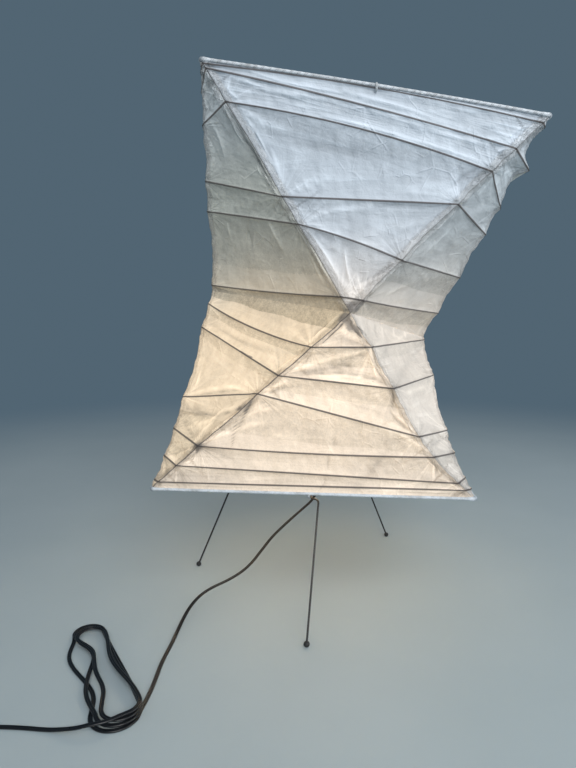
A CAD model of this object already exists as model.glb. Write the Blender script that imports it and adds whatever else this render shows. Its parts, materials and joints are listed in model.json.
import json
import math

import bmesh
import bpy
import numpy as np
from mathutils import Matrix, Vector, noise


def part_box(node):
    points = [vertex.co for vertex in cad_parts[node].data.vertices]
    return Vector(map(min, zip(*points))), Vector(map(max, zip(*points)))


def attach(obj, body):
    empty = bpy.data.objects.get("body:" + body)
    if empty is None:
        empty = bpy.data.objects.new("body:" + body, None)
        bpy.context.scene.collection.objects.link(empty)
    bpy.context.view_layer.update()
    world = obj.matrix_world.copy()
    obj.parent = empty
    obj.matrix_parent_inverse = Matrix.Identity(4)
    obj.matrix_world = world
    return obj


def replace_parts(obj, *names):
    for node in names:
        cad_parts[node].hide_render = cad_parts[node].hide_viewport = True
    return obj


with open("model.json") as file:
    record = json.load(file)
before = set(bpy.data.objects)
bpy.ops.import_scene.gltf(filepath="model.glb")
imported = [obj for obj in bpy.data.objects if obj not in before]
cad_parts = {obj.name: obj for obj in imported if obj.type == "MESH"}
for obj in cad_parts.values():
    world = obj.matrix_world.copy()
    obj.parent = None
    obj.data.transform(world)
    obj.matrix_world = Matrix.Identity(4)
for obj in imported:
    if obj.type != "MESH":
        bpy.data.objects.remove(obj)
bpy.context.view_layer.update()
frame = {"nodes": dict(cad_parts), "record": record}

MM = 0.001
UP = np.array([0.0, 0.0, 1.0])
# The upright axis through the hub. Lengths in millimetres are measured from its foot.
AXIS = np.array([-0.0208, 0.0, 0.0])


# Camera and light

# The camera's place in metres from the foot of the axis, and how many degrees it looks down
LENS, SENSOR_WIDTH = 26.0, 36.0
CAMERA_FROM_AXIS, CAMERA_DOWN = np.array([-0.0495, -0.946, 0.449]), 7


def make_camera():
    """The photograph was taken from in front, a little left of the lamp, looking slightly down."""
    data = bpy.data.cameras.new("camera")
    data.lens = LENS
    data.sensor_width = SENSOR_WIDTH
    camera = bpy.data.objects.new("camera", data)
    camera.location = AXIS + CAMERA_FROM_AXIS
    camera.rotation_euler = (math.radians(90 - CAMERA_DOWN), 0, 0)
    bpy.context.collection.objects.link(camera)
    bpy.context.scene.camera = camera


def make_lamp(name, kind, at, aim, size, power, colour):
    """An area or a point lamp, in metres and watts."""
    data = bpy.data.lights.new(name, kind)
    data.energy = power
    data.color = colour
    if kind == "AREA":
        data.size = size
    else:
        data.shadow_soft_size = size
    lamp = bpy.data.objects.new(name, data)
    lamp.location = at
    lamp.rotation_euler = (Vector(aim) - Vector(at)).to_track_quat("-Z", "Y").to_euler()
    bpy.context.collection.objects.link(lamp)


# Shader building

class Link:
    """A value or colour on its way through a material, with arithmetic that adds Math nodes."""

    def __init__(self, finish, socket):
        self.finish = finish
        self.socket = socket

    def math(self, operation, *values):
        return self.finish.node("ShaderNodeMath", {"operation": operation}, dict(enumerate(values)))

    def __add__(self, other):
        return self.math("ADD", self, other)

    def __sub__(self, other):
        return self.math("SUBTRACT", self, other)

    def __rsub__(self, other):
        return self.math("SUBTRACT", other, self)

    def __mul__(self, other):
        return self.math("MULTIPLY", self, other)

    def __truediv__(self, other):
        return self.math("DIVIDE", self, other)

    def __abs__(self):
        return self.math("ABSOLUTE", self)

    __radd__ = __add__
    __rmul__ = __mul__

    def over(self, low, high):
        """0 below low and 1 above high, eased in between."""
        return self.finish.node(
            "ShaderNodeMapRange",
            {"interpolation_type": "SMOOTHSTEP"},
            {"Value": self, "From Min": low, "From Max": high},
        )


class Nodes:
    """The node tree of a material or of the sky under construction."""

    def __init__(self, owner):
        owner.use_nodes = True
        self.tree = owner.node_tree
        self.tree.nodes.clear()

    def node(self, kind, settings=None, inputs=None, output=0):
        made = self.tree.nodes.new(kind)
        for key, value in (settings or {}).items():
            setattr(made, key, value)
        for key, value in (inputs or {}).items():
            if isinstance(value, Link):
                self.tree.links.new(value.socket, made.inputs[key])
            else:
                made.inputs[key].default_value = value
        return Link(self, made.outputs[output])

    def end(self, kind, shader):
        """Ends the tree with its output."""
        self.tree.links.new(shader.socket, self.tree.nodes.new(kind).inputs["Surface"])


class Finish(Nodes):
    """A material under construction."""

    def __init__(self, name):
        self.material = bpy.data.materials.new(name)
        super().__init__(self.material)
        self.place = self.node("ShaderNodeTexCoord", output="Object")

    def noise(self, scale, detail=3.0, rough=0.55, stretch=(1, 1, 1), warp=0.0):
        at = self.node("ShaderNodeMapping", inputs={"Vector": self.place, "Scale": stretch})
        return self.node("ShaderNodeTexNoise", inputs={
            "Vector": at, "Scale": scale, "Detail": detail, "Roughness": rough, "Distortion": warp,
        })

    def noise_at(self, at, scale, detail=3.0):
        """Noise laid out on a vector of the piece's own instead of its place."""
        return self.node("ShaderNodeTexNoise", inputs={"Vector": at, "Scale": scale, "Detail": detail})

    def noise_along(self, way, scale, detail=3.0):
        """Noise that changes along one number only, so it draws streaks."""
        settings = {"noise_dimensions": "1D"}
        return self.node("ShaderNodeTexNoise", settings, {"W": way, "Scale": scale, "Detail": detail})

    def noise_over(self, aside, along, fine_aside, fine_along, layer, detail):
        """Noise laid out by two distances, such as in from a seam and along it."""
        inputs = {0: aside * fine_aside, 1: along * fine_along, 2: layer}
        at = self.node("ShaderNodeCombineXYZ", inputs=inputs)
        return self.noise_at(at, 1.0, detail)

    def cells(self, scale, feature="DISTANCE_TO_EDGE"):
        inputs = {"Vector": self.place, "Scale": scale}
        return self.node("ShaderNodeTexVoronoi", {"feature": feature}, inputs, "Distance")

    def attribute(self, name):
        return self.node("ShaderNodeAttribute", {"attribute_name": name}, output="Fac")

    def axis(self, index):
        return self.node("ShaderNodeSeparateXYZ", inputs={"Vector": self.place}, output=index)

    def mix(self, share, a, b):
        """Colour a where share is 0, and b where it is 1."""
        a, b = (c if isinstance(c, Link) else (*c, 1) for c in (a, b))
        return self.node("ShaderNodeMix", {"data_type": "RGBA"}, {0: share, 6: a, 7: b}, output=2)

    def tint(self, colour, factor):
        """A colour made lighter or darker by a number that varies."""
        shade = self.node("ShaderNodeCombineColor", inputs={0: factor, 1: factor, 2: factor})
        settings = {"data_type": "RGBA", "blend_type": "MULTIPLY"}
        colour = colour if isinstance(colour, Link) else (*colour, 1)
        return self.node("ShaderNodeMix", settings, {0: 1.0, 6: colour, 7: shade}, output=2)

    def bump(self, height, depth, normal=None):
        inputs = {"Height": height, "Distance": depth, "Strength": 1.0}
        if normal:
            inputs["Normal"] = normal
        return self.node("ShaderNodeBump", inputs=inputs)

    def shade(self, **inputs):
        """Ends the material with its surface shader."""
        named = {key.replace("_", " "): value for key, value in inputs.items()}
        named = {key: (*value, 1) if isinstance(value, tuple) and len(value) == 3 else value
                 for key, value in named.items()}
        self.end("ShaderNodeOutputMaterial", self.node("ShaderNodeBsdfPrincipled", inputs=named))
        return self.material


# Finishes

# The paper by daylight, on a clean and on a grey facet, single and double
COOL, COOL_GREY = (0.512, 0.572, 0.640), (0.545, 0.560, 0.508)
COOL_DOUBLE, COOL_DOUBLE_GREY = (0.400, 0.450, 0.500), (0.420, 0.440, 0.395)
# The same with the bulb behind it, and the light that comes through
LIT, LIT_GREY, LIT_DOUBLE = (0.668, 0.603, 0.535), (0.676, 0.588, 0.462), (0.400, 0.345, 0.250)
THROUGH = (0.330, 0.215, 0.105)
STRIP_PAPER, STRIP_DIRT = (0.640, 0.665, 0.690), (0.220, 0.215, 0.215)
STAIN, SPECK = (0.165, 0.150, 0.140), (0.120, 0.085, 0.060)
CREASE_DIRT, RIB_SHADOW = (0.115, 0.100, 0.097), (0.080, 0.066, 0.062)


def paper_finish():
    """Thin handmade paper: cool white by daylight, warm where the bulb shines through, with
    darker double layers, pasted seam strips, ribs that show through, creases and soiling."""
    f = Finish("handmade_paper")
    rib, seam, strip_run, run = map(f.attribute, ("rib", "seam", "strip", "run"))
    lap, dark, rag = map(f.attribute, ("lap", "dark", "rag"))
    warm, glow, grey, soil, fold = map(f.attribute, ("warm", "glow", "grey", "soil", "fold"))
    fan, near, across, loose = map(f.attribute, ("fan", "near", "across", "loose"))
    crumple = f.attribute("crumple").over(-2.4, 2.4) - 0.5

    # Patterns: fibres, clouds and blotches in the sheet, puckers along the seams, a net of
    # fine creases, and pleats between the ribs
    fibre = f.noise(900, 4, 0.7, (1, 1, 0.25), 0.6)
    streak = f.noise(330, 3, 0.6, (1, 1, 0.10))
    cloud = f.noise(30, 4, 0.6)
    mottle = f.noise(150, 4, 0.65)
    pulp = f.noise(430, 3, 0.7)
    ray = f.noise_along(fan, 1.0, 2)
    gather = f.noise_over(seam, run, 0.30, 0.050, 0.0, 3)
    pucker = f.noise_over(seam, run, 0.16, 0.170, 7.0, 2)
    frill = 1 - abs(f.noise_over(seam, run, 0.42, 0.26, 3.0, 3) - 0.5).over(0.0, 0.075)
    net = (1 - f.cells(27).over(0.0, 0.050)) * f.noise(15, 2).over(0.53, 0.64) * 0.7
    net = net + (1 - f.cells(46).over(0.0, 0.06)) * f.noise(21, 2).over(0.55, 0.63) * 0.6
    pleat = f.noise_over(rib, across, 0.16, 0.014, loose, 2)

    # Where things are, 0 to 1: the double layer, the seam's strip and its dirty edge, the seam
    # itself, the rib and its soft edge, stains, specks, and the pull from the rib ends
    double = (lap + (mottle - 0.5) * 2.5 + (fibre - 0.5) * 1.5 + (streak - 0.5) * rag).over(-0.9, 0.9)
    strip_edge = strip_run + (gather - 0.5) * 8 + (pucker - 0.5) * 6 + (mottle - 0.5) * 4
    strip = 1 - strip_edge.over(7.2, 8.2)
    strip_line = strip_edge.over(6.6, 7.3) * (1 - strip_edge.over(7.5, 8.3)) * cloud.over(0.46, 0.62)
    crease = 1 - (seam + (pulp - 0.5) * 0.8).over(0.45, 1.50)
    line = 1 - (rib + (fibre - 0.5) * 0.30).over(0.85, 1.70)
    halo = 1 - rib.over(1.2, 6.0)
    stain = (soil + (cloud - 0.5) * 0.7 + (mottle - 0.5) * 1.3).over(0.45, 1.15)
    speck = 1 - (f.cells(95, "F1") + (1 - f.noise(60, 2).over(0.58, 0.66)) * 2).over(0.05, 0.09)
    tension = near.over(75, 6) * (ray.over(0.42, 0.72) - 0.4)
    blotch = (mottle - 0.5) * 0.42 + (pulp - 0.5) * 0.40
    pleated = pleat.over(0.52, 0.72) * rib.over(0.8, 3) * loose
    shadow = seam.over(18, 1)
    frilled = strip_run.over(12, 6) * (frill - 0.10)
    layered = double * dark

    # The colour of the sheet
    cool = f.mix(layered, f.mix(grey, COOL, COOL_GREY), f.mix(grey, COOL_DOUBLE, COOL_DOUBLE_GREY))
    lit = f.mix(layered, f.mix(grey, LIT, LIT_GREY), LIT_DOUBLE)
    base = f.mix(warm, cool, lit)
    base = f.mix(strip * 0.50 * (1 - grey * 0.75) * (1 - warm * 0.7), base, STRIP_PAPER)
    level = 0.95 + (cloud - 0.5) * 0.20 + blotch * (0.26 + warm * 0.25 + layered * 1.9) + tension * 0.16
    level = level + pleated * 0.24 + crumple * (0.50 + warm * 0.20) - shadow * fold * 0.08
    base = f.tint(base, level + frilled * 0.16 + net * 0.08)
    base = f.mix(stain * 0.72, base, STAIN)
    base = f.mix(speck * 0.7, base, SPECK)
    base = f.mix(strip_line * (0.05 + fold * 0.26), base, STRIP_DIRT)
    base = f.mix(crease * fold, base, CREASE_DIRT)
    base = f.mix(line * 0.86, base, RIB_SHADOW)

    # The bulb's light through it
    shine = glow * (1 - layered * 0.55)
    uneven = 0.92 + (cloud - 0.5) * 0.40 + blotch * (0.8 + layered * 1.5) + crumple * 0.80 + tension * 0.18
    shine = shine * uneven
    shine = shine * (1 - line * 0.90) * (1 - stain * 0.70) * (1 - strip * 0.08) * (1 - crease * fold)
    shine = shine * (1 - halo * 0.12) * (1 - strip_line * 0.35)
    light = f.tint(THROUGH, shine)

    # Fine relief, too small for the mesh
    ridge_a = abs(f.noise(34, 2, 0.5) - 0.5)
    ridge_b = abs(f.noise(95, 3, 0.55, warp=0.4) - 0.5)
    normal = f.bump(ridge_a * 0.75 + ridge_b * 0.50 + pulp * 0.12, 0.0027)
    normal = f.bump(near.over(70, 8) * ray + pleat * loose * 1.6, 0.0011, normal)
    normal = f.bump((1 - strip_run.over(4, 13)) * (gather + pucker * 0.7 - 0.85), 0.0024, normal)
    normal = f.bump(strip * 0.40 + double * 0.14 + fibre * 0.10, 0.0010, normal)
    normal = f.bump(net + frilled * 0.9, 0.0007, normal)
    return f.shade(
        Base_Color=base, Roughness=0.55 + mottle * 0.25, Specular_IOR_Level=0.40, Sheen_Weight=0.08,
        Sheen_Roughness=0.5, Emission_Color=light, Emission_Strength=1.0, Normal=normal,
    )


def wrap_finish():
    """The paper strips wound round the end frames."""
    f = Finish("paper_wrapping")
    turn = f.attribute("turn")
    grain = f.noise(500, 4, 0.6)
    dirt = f.noise(60, 4, 0.7)
    groove = (abs(turn - 0.5) * 2).over(0.50, 0.92)
    base = f.mix(dirt.over(0.35, 0.75), (0.640, 0.690, 0.740), (0.400, 0.425, 0.440))
    base = f.mix(groove * 0.80, base, (0.135, 0.140, 0.150))
    worn = (f.attribute("bare") + (dirt - 0.5) * 0.6).over(0.45, 0.95)
    base = f.mix(worn * 0.7, base, (0.130, 0.160, 0.190))
    return f.shade(
        Base_Color=f.tint(base, 0.75 + grain * 0.45), Roughness=0.50 + grain * 0.25,
        Normal=f.bump(grain, 0.0004), Specular_IOR_Level=0.4,
    )


def rib_finish():
    """Split bamboo, brown with darker streaks along the rib."""
    f = Finish("split_bamboo")
    streak = f.noise(240, 4, 0.6)
    base = f.mix(streak.over(0.35, 0.7), (0.170, 0.105, 0.055), (0.330, 0.220, 0.125))
    return f.shade(Base_Color=base, Roughness=0.5 + streak * 0.3, Normal=f.bump(streak, 0.0003))


def enamel_finish(name, colour, rough, wear):
    """Black enamel or lacquer on steel, with a little dust and rubbed spots."""
    f = Finish(name)
    dust = f.noise(140, 5, 0.65)
    grain = f.noise(900, 3, 0.5)
    base = f.mix(dust.over(0.55, 0.8) * wear, colour, (0.115, 0.110, 0.105))
    return f.shade(
        Base_Color=base, Roughness=rough + dust * 0.2, Normal=f.bump(grain, 0.00012),
        Coat_Weight=0.25, Coat_Roughness=0.25,
    )


def wire_finish():
    """Steel wire under an old pale grey paint, duller where it has rubbed."""
    f = Finish("painted_wire")
    rub = f.noise(180, 4, 0.65)
    base = f.mix(rub.over(0.45, 0.75), (0.420, 0.450, 0.470), (0.210, 0.215, 0.220))
    return f.shade(Base_Color=base, Roughness=0.42 + rub * 0.3, Normal=f.bump(rub, 0.0003))


def steel_finish():
    """Zinc-plated steel, as on nuts and screws."""
    f = Finish("zinc_plated_steel")
    grain = f.noise(700, 3, 0.6)
    return f.shade(
        Base_Color=f.mix(grain, (0.42, 0.43, 0.44), (0.60, 0.60, 0.61)), Metallic=1.0,
        Roughness=0.28 + grain * 0.2, Normal=f.bump(grain, 0.0001),
    )


def brass_finish():
    """Brass with drawing marks along it and patches of tarnish."""
    f = Finish("drawn_brass")
    grain = f.noise(500, 3, 0.6, (1, 1, 0.2))
    tarnish = f.noise(90, 4, 0.6)
    return f.shade(
        Base_Color=f.mix(tarnish.over(0.5, 0.8), (0.70, 0.52, 0.24), (0.38, 0.26, 0.12)), Metallic=1.0,
        Roughness=0.22 + grain * 0.2, Normal=f.bump(grain, 0.0001),
    )


def phenolic_finish():
    """Moulded black phenolic, with a low gloss and faint flow marks."""
    f = Finish("moulded_phenolic")
    flow = f.noise(120, 4, 0.6, (1, 1, 3))
    return f.shade(
        Base_Color=f.mix(flow, (0.016, 0.015, 0.014), (0.032, 0.029, 0.027)), Roughness=0.28 + flow * 0.18,
        Normal=f.bump(flow, 0.0002), Coat_Weight=0.15,
    )


def porcelain_finish():
    """Off-white porcelain with a fine speckle."""
    f = Finish("unglazed_porcelain")
    speckle = f.noise(600, 3, 0.6)
    return f.shade(
        Base_Color=f.mix(speckle, (0.70, 0.67, 0.60), (0.82, 0.79, 0.73)), Roughness=0.6 + speckle * 0.2,
        Normal=f.bump(speckle, 0.0002),
    )


def fibre_finish():
    """Brown pressed fibre, as insulating liners are made of."""
    f = Finish("pressed_fibre")
    grain = f.noise(400, 4, 0.7)
    return f.shade(
        Base_Color=f.mix(grain, (0.16, 0.085, 0.040), (0.25, 0.145, 0.075)), Roughness=0.7 + grain * 0.2,
        Normal=f.bump(grain, 0.0003),
    )


def frosted_glass_finish():
    """Glass frosted inside, lit by its filament, brightest half way up."""
    f = Finish("frosted_glass")
    low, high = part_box("bulb_glass")
    height = (f.axis("Z") - low.z) / (high.z - low.z)
    heart = height.over(0.05, 0.55) * (1 - height.over(0.75, 1.15))
    frost = f.noise(900, 3, 0.6)
    return f.shade(
        Base_Color=f.mix(heart, (0.62, 0.52, 0.38), (0.95, 0.90, 0.80)), Roughness=0.35 + frost * 0.2,
        Emission_Color=f.mix(heart, (0.55, 0.30, 0.12), (1.0, 0.82, 0.56)), Emission_Strength=2.2,
        Normal=f.bump(frost, 0.0001),
    )


def cord_finish():
    """Soft black vinyl: glossy, faintly scuffed and dusty."""
    f = Finish("black_cord_vinyl")
    scuff = f.noise(220, 5, 0.65)
    grain = f.noise(1500, 3, 0.6)
    base = f.mix(scuff.over(0.5, 0.8) * 0.4, (0.004, 0.0045, 0.006), (0.028, 0.030, 0.036))
    return f.shade(
        Base_Color=base, Roughness=0.20 + scuff * 0.22, Normal=f.bump(grain, 0.0001),
        Specular_IOR_Level=0.55,
    )


def rubber_finish():
    """Dull black rubber, scuffed grey."""
    f = Finish("moulded_rubber")
    scuff = f.noise(260, 5, 0.65)
    base = f.mix(scuff.over(0.45, 0.75) * 0.6, (0.012, 0.012, 0.013), (0.060, 0.058, 0.055))
    return f.shade(Base_Color=base, Roughness=0.42 + scuff * 0.3, Normal=f.bump(scuff, 0.0002))


# Mesh building

# Points nearer to each other than this, in metres, are made one
MERGE = 2e-6


def unit(v):
    v = np.asarray(v, float)
    return v / np.linalg.norm(v, axis=-1, keepdims=True)


def finished(shape, name, material, body):
    """Makes a mesh, or a bmesh, into a piece at the origin that rides on a body."""
    if isinstance(shape, bmesh.types.BMesh):
        mesh = bpy.data.meshes.new(name)
        shape.to_mesh(mesh)
        shape.free()
    else:
        mesh = shape
        mesh.name = name
    mesh.polygons.foreach_set("use_smooth", [True] * len(mesh.polygons))
    mesh.materials.append(material)
    piece = bpy.data.objects.new(name, mesh)
    bpy.context.collection.objects.link(piece)
    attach(piece, body)
    return piece


def laid_grid(points, closed=False, capped=False, attributes=None):
    """A grid mesh whose vertices are moved to points[row, column]. A closed one has its first
    and last columns joined, and a capped one has its two ends filled."""
    rows, columns = points.shape[:2]
    bm = bmesh.new()
    bmesh.ops.create_grid(bm, x_segments=columns - 1, y_segments=rows - 1, size=1)
    mesh = bpy.data.meshes.new("grid")
    bm.to_mesh(mesh)
    at = np.empty(rows * columns * 3)
    mesh.vertices.foreach_get("co", at)
    at = at.reshape(-1, 3).round(5)
    order = np.lexsort((at[:, 0], at[:, 1]))
    moved = np.empty_like(at)
    moved[order] = points.reshape(-1, 3)
    mesh.vertices.foreach_set("co", moved.reshape(-1))
    for name, values in (attributes or {}).items():
        stored = np.empty(rows * columns)
        stored[order] = values.reshape(-1)
        mesh.attributes.new(name, "FLOAT", "POINT").data.foreach_set("value", stored)
    if closed:
        bm.clear()
        bm.from_mesh(mesh)
        bmesh.ops.remove_doubles(bm, verts=bm.verts, dist=MERGE)
        if capped:
            bmesh.ops.holes_fill(bm, edges=[edge for edge in bm.edges if edge.is_boundary])
        bmesh.ops.recalc_face_normals(bm, faces=bm.faces)
        bm.to_mesh(mesh)
    bm.free()
    return mesh


# The turn between two rings in a bend
BEND_STEP = math.radians(12)


def bent_path(points, bend):
    """Centres and directions of the rings of a closed wire through points, with round bends."""
    rings = []
    for i, p in enumerate(points):
        into = unit(p - points[i - 1])
        out = unit(points[(i + 1) % len(points)] - p)
        turn = math.acos(max(-1.0, min(1.0, float(into @ out))))
        inner = unit(out - into * (into @ out))
        count = max(2, math.ceil(turn / BEND_STEP))
        for k in range(count + 1):
            a = turn * k / count
            centre = p + into * bend * (math.sin(a) - math.tan(turn / 2)) + inner * bend * (1 - math.cos(a))
            rings.append((centre, into * math.cos(a) + inner * math.sin(a)))
    rings.append(rings[0])
    return rings


def refined(rings, spacing):
    """More rings along the straight stretches."""
    out = [rings[0]]
    for (a, way_a), (b, way_b) in zip(rings, rings[1:]):
        steps = max(1, round(float(np.linalg.norm(b - a)) / spacing))
        for k in range(1, steps + 1):
            t = k / steps
            out.append((a + (b - a) * t, unit(way_a + (way_b - way_a) * t)))
    return out


def tube_points(rings, radius, sides):
    """Ring points round a level path. radius is a function of ring number and angle."""
    angles = np.arange(sides + 1) * 2 * math.pi / sides
    rows = []
    for i, (centre, way) in enumerate(rings):
        side = unit(np.cross(UP, way))
        over = np.cross(way, side)
        r = radius(i, angles)
        rows.append(centre + np.outer(np.cos(angles) * r, side) + np.outer(np.sin(angles) * r, over))
    return np.array(rows)


# The cord, from the grip to the plug

CORD_W, CORD_T = 5.4 * MM, 2.7 * MM
# The height of the cord's middle over the table, in millimetres
CORD_LIES = CORD_T / 2 / MM + 0.05
# The cord from the grip to the hank, and from the hank to the plug
RUN = [
    (0, 0, 152), (0, 0, 145), (-2, -2, 137), (-9, -6, 127), (-22, -12, 117),
    (-39, -21, 105), (-57, -34, 93), (-76, -51, 80), (-93, -70, 65), (-109, -88, 51),
    (-126, -104, 42), (-146, -121, 37), (-167, -138, 34), (-183, -154, 29),
    (-194, -172, 22), (-201, -190, 14), (-206, -208, 6), (-209, -226, 2),
    (-211, -245, 1.4), (-213, -265, 1.4), (-214, -285, 1.4), (-214, -305, 1.4),
    (-214.5, -325, 1.4), (-216, -345, 1.4), (-218, -361, 1.4),
]
TAIL = [
    (-235.5, -383.5, 11.4), (-244.5, -390, 11.4), (-254.5, -394.3, 11.2), (-266, -396.4, 10.2),
    (-278, -397, 7.6), (-292, -395.5, 4.8), (-307, -393.3, 2.4), (-322, -391.2, 1.4),
    (-338, -389.5, 1.4), (-354, -388.4, 1.4), (-368, -388, 1.4), (-380, -388, 1.4),
]
# The hank, in millimetres: the middles of its two ends, the radii of its bends there and how
# much tighter each loop is, how much higher a loop lies than the last, how its runs sway to
# the side, and how much shorter a loop is. The shares say where in a loop each stretch ends.
HANK_NEAR, HANK_FAR = np.array([-246.0, -367.0]), np.array([-333.0, -206.0])
LOOPS, LOOP_START, LOOP_END = 3, 0.06, 3.12
NEAR_R, FAR_R, NEAR_STEP, FAR_STEP, LAYER = 28, 19.6, 3, 0.4, 3.34
LEFT_FAR, LEFT_NEAR, RIGHT_BULGE, LOOP_SHORT = (12, -16, -12), (-9, 5, -9), (0, 4, 9), (0, 8, 20)
NEAR_SHARE, LEFT_SHARE, FAR_SHARE = 0.26, 0.52, 0.72
LOOP_POINTS = 48
# Which way the cord's width points where it hangs, and how level its way is, as a share, once
# its width is level
HANGING_SIDE, LEVEL_FROM = unit([-0.7, 0.7, 0]), 0.5


def turned(x, y, angle):
    c, s = math.cos(math.radians(angle)), math.sin(math.radians(angle))
    return np.array([x * c - y * s, x * s + y * c])


def hump(t):
    return math.sin(math.pi * t) ** 2


def smoothed(t):
    return t * t * (3 - 2 * t)


def hank_at(turn):
    """The hank's middle line: round the near end, up the left run, round the far end, and
    down the right run, where it climbs a layer. The loops keep together on the right."""
    way = unit(HANK_FAR - HANK_NEAR)
    side = np.array([way[1], -way[0]])
    loop = int(turn)
    lap = min(loop, LOOPS - 1)
    s = turn - loop
    near_in, far_in = NEAR_STEP * turn, FAR_STEP * turn
    near, far = NEAR_R - near_in, FAR_R - far_in
    left = (s - NEAR_SHARE) / (LEFT_SHARE - NEAR_SHARE)
    right = (s - FAR_SHARE) / (1 - FAR_SHARE)
    on_left, on_right = min(1.0, max(0.0, left)), max(0.0, right)
    short = LOOP_SHORT[lap] * min(hump(on_left / 2), hump((1 + on_right) / 2))
    length = float(np.linalg.norm(HANK_FAR - HANK_NEAR)) - short
    if s < NEAR_SHARE:
        flat = np.array([near_in, 0]) + turned(near, 0, -180 * s / NEAR_SHARE)
    elif s < LEFT_SHARE:
        sway = LEFT_FAR[lap] * hump(left * left) + LEFT_NEAR[lap] * hump((1 - left) ** 2.5)
        across = near_in - near + (far_in - far - near_in + near) * smoothed(left) - sway
        flat = np.array([across, length * left])
    elif s < FAR_SHARE:
        flat = np.array([far_in, length])
        flat = flat + turned(-far, 0, -180 * (s - LEFT_SHARE) / (FAR_SHARE - LEFT_SHARE))
    else:
        bulge = RIGHT_BULGE[lap] * hump(right)
        flat = np.array([FAR_R + (NEAR_R - FAR_R) * smoothed(right) - bulge, length * (1 - right)])
    at = HANK_NEAR + side * flat[0] + way * flat[1]
    return at[0], at[1], CORD_LIES + LAYER * (loop + on_right)


def cord_route():
    """The whole route as one smooth line, in metres in the shared frame."""
    turns = LOOP_END - LOOP_START
    steps = round(turns * LOOP_POINTS)
    loops = [hank_at(LOOP_START + turns * i / steps) for i in range(steps + 1)]
    knots = np.array(RUN + loops + TAIL)
    ends = np.vstack([knots[:1], knots, knots[-1:]])
    line = []
    for p0, p1, p2, p3 in zip(ends, ends[1:], ends[2:], ends[3:]):
        for t in (0, 1 / 3, 2 / 3):
            line.append(p1 + t * ((p2 - p0) / 2 + t * ((p0 - 2.5 * p1 + 2 * p2 - 0.5 * p3)
                        + t * (1.5 * (p1 - p2) + (p3 - p0) / 2))))
    line.append(knots[-1])
    line = np.array(line)
    line[:, 2] = np.maximum(line[:, 2], CORD_LIES)
    return line * MM + AXIS


def twin_outline():
    """Two round cores side by side with a web between them, as (width, thickness) in metres."""
    r = CORD_T / 2
    offset = CORD_W / 2 - r
    round_side = [math.radians(a) for a in (0, 30, 60, 90, 120)]
    half = [(offset + r * math.cos(a), r * math.sin(a)) for a in round_side]
    top = half + [(0.25 * r, 0.55 * r)]
    over = top + [(-x, y) for x, y in reversed(top)]
    under = [(x, -y) for x, y in reversed(over[1:-1])]
    return over + under


def make_cord(material):
    """The cord keeps its width level along the route, and turned one set way where it hangs."""
    route = cord_route()
    ways = unit(np.gradient(route, axis=0))
    outline = twin_outline()
    rows = []
    for centre, way in zip(route, ways):
        level = np.cross(way, UP)
        flat = float(np.linalg.norm(level))
        share = min(1.0, flat / LEVEL_FROM)
        side = HANGING_SIDE * (1 - share) + (level / flat * share if flat > 1e-6 else 0)
        side = unit(side - way * (side @ way))
        over = np.cross(way, side)
        ring = [centre + side * x + over * y for x, y in outline]
        rows.append(ring + ring[:1])
    shape = laid_grid(np.array(rows), closed=True, capped=True)
    cord = finished(shape, "cord", material, "base")
    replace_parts(cord, "cord_run", "cord_hank", "cord_tail")
    return cord, route


# The plug: its grip and its neck as shares of its length, how narrow and thin the neck ends as
# shares of the grip, and the rounding of its edges in millimetres
PLUG_GRIP, PLUG_NECK = 0.72, 0.28
NECK_NARROW, NECK_THIN = 0.42, 0.60
PLUG_ROUND = 2.4


def make_plug(material):
    """A moulded plug: a flat grip, and a neck that tapers to the cord."""
    low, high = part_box("plug_body")
    length, width, thick = high - low
    middle_y, middle_z = (low.y + high.y) / 2, thick / 2
    bm = bmesh.new()
    bmesh.ops.create_cube(bm, size=1)
    bmesh.ops.scale(bm, verts=bm.verts, vec=(length * PLUG_GRIP, width, thick))
    bmesh.ops.translate(bm, verts=bm.verts, vec=(low.x + length * PLUG_GRIP / 2, middle_y, middle_z))
    tail = [face for face in bm.faces if face.normal.x > 0.9]
    grown = bmesh.ops.extrude_face_region(bm, geom=tail)
    bmesh.ops.delete(bm, geom=tail, context="FACES")
    end = [g for g in grown["geom"] if isinstance(g, bmesh.types.BMVert)]
    middle = Vector((low.x + length * PLUG_GRIP, middle_y, middle_z))
    bmesh.ops.translate(bm, verts=end, vec=(length * PLUG_NECK, 0, 0))
    bmesh.ops.scale(bm, verts=end, vec=(1, NECK_NARROW, NECK_THIN), space=Matrix.Translation(-middle))
    bmesh.ops.bevel(
        bm, geom=bm.edges[:], offset=PLUG_ROUND * MM, segments=4, affect="EDGES", profile=0.5, material=-1,
    )
    bmesh.ops.recalc_face_normals(bm, faces=bm.faces)
    plug = finished(bm, "plug", material, "base")
    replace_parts(plug, "plug_body")
    return plug


# The shade's geometry, from its driving sizes

FRAME_SIDE, FRAME_D, FRAME_BEND = 440.0, 4.0, 5.0
BOTTOM_H, BOTTOM_TURN = 210.0, -5.6
TOP_H, TOP_LEAN, TOP_SLOPE, TOP_TURN = 730.0, 62.0, 8.9, -0.6
WAIST_R, WAIST_H, WAIST_SHIFT = 182.0, 451.0, 7.0
WAIST_TURN, WAIST_SLOPE, WAIST_DIP = 9.2, 11.7, 2.6
LOW_RIBS = [
    (0.04, 0.04, 0.044, 0.045), (0.148, 0.134, 0.08, 0.10), (0.274, 0.246, 0.216, 0.228),
    (0.424, 0.543, 0.324, 0.354), (0.792, 0.646, 0.582, 0.708), (0.924, 0.806, 0.808, 0.975),
]
HIGH_RIBS = [
    (0.033, 0.070, 0.070, 0.146), (0.408, 0.373, 0.286, 0.340), (0.542, 0.484, 0.574, 0.548),
    (0.768, 0.845, 0.735, 0.662), (0.89, 0.967, 0.845, 0.822), (0.955, 0.984, 0.965, 0.96),
]
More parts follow.
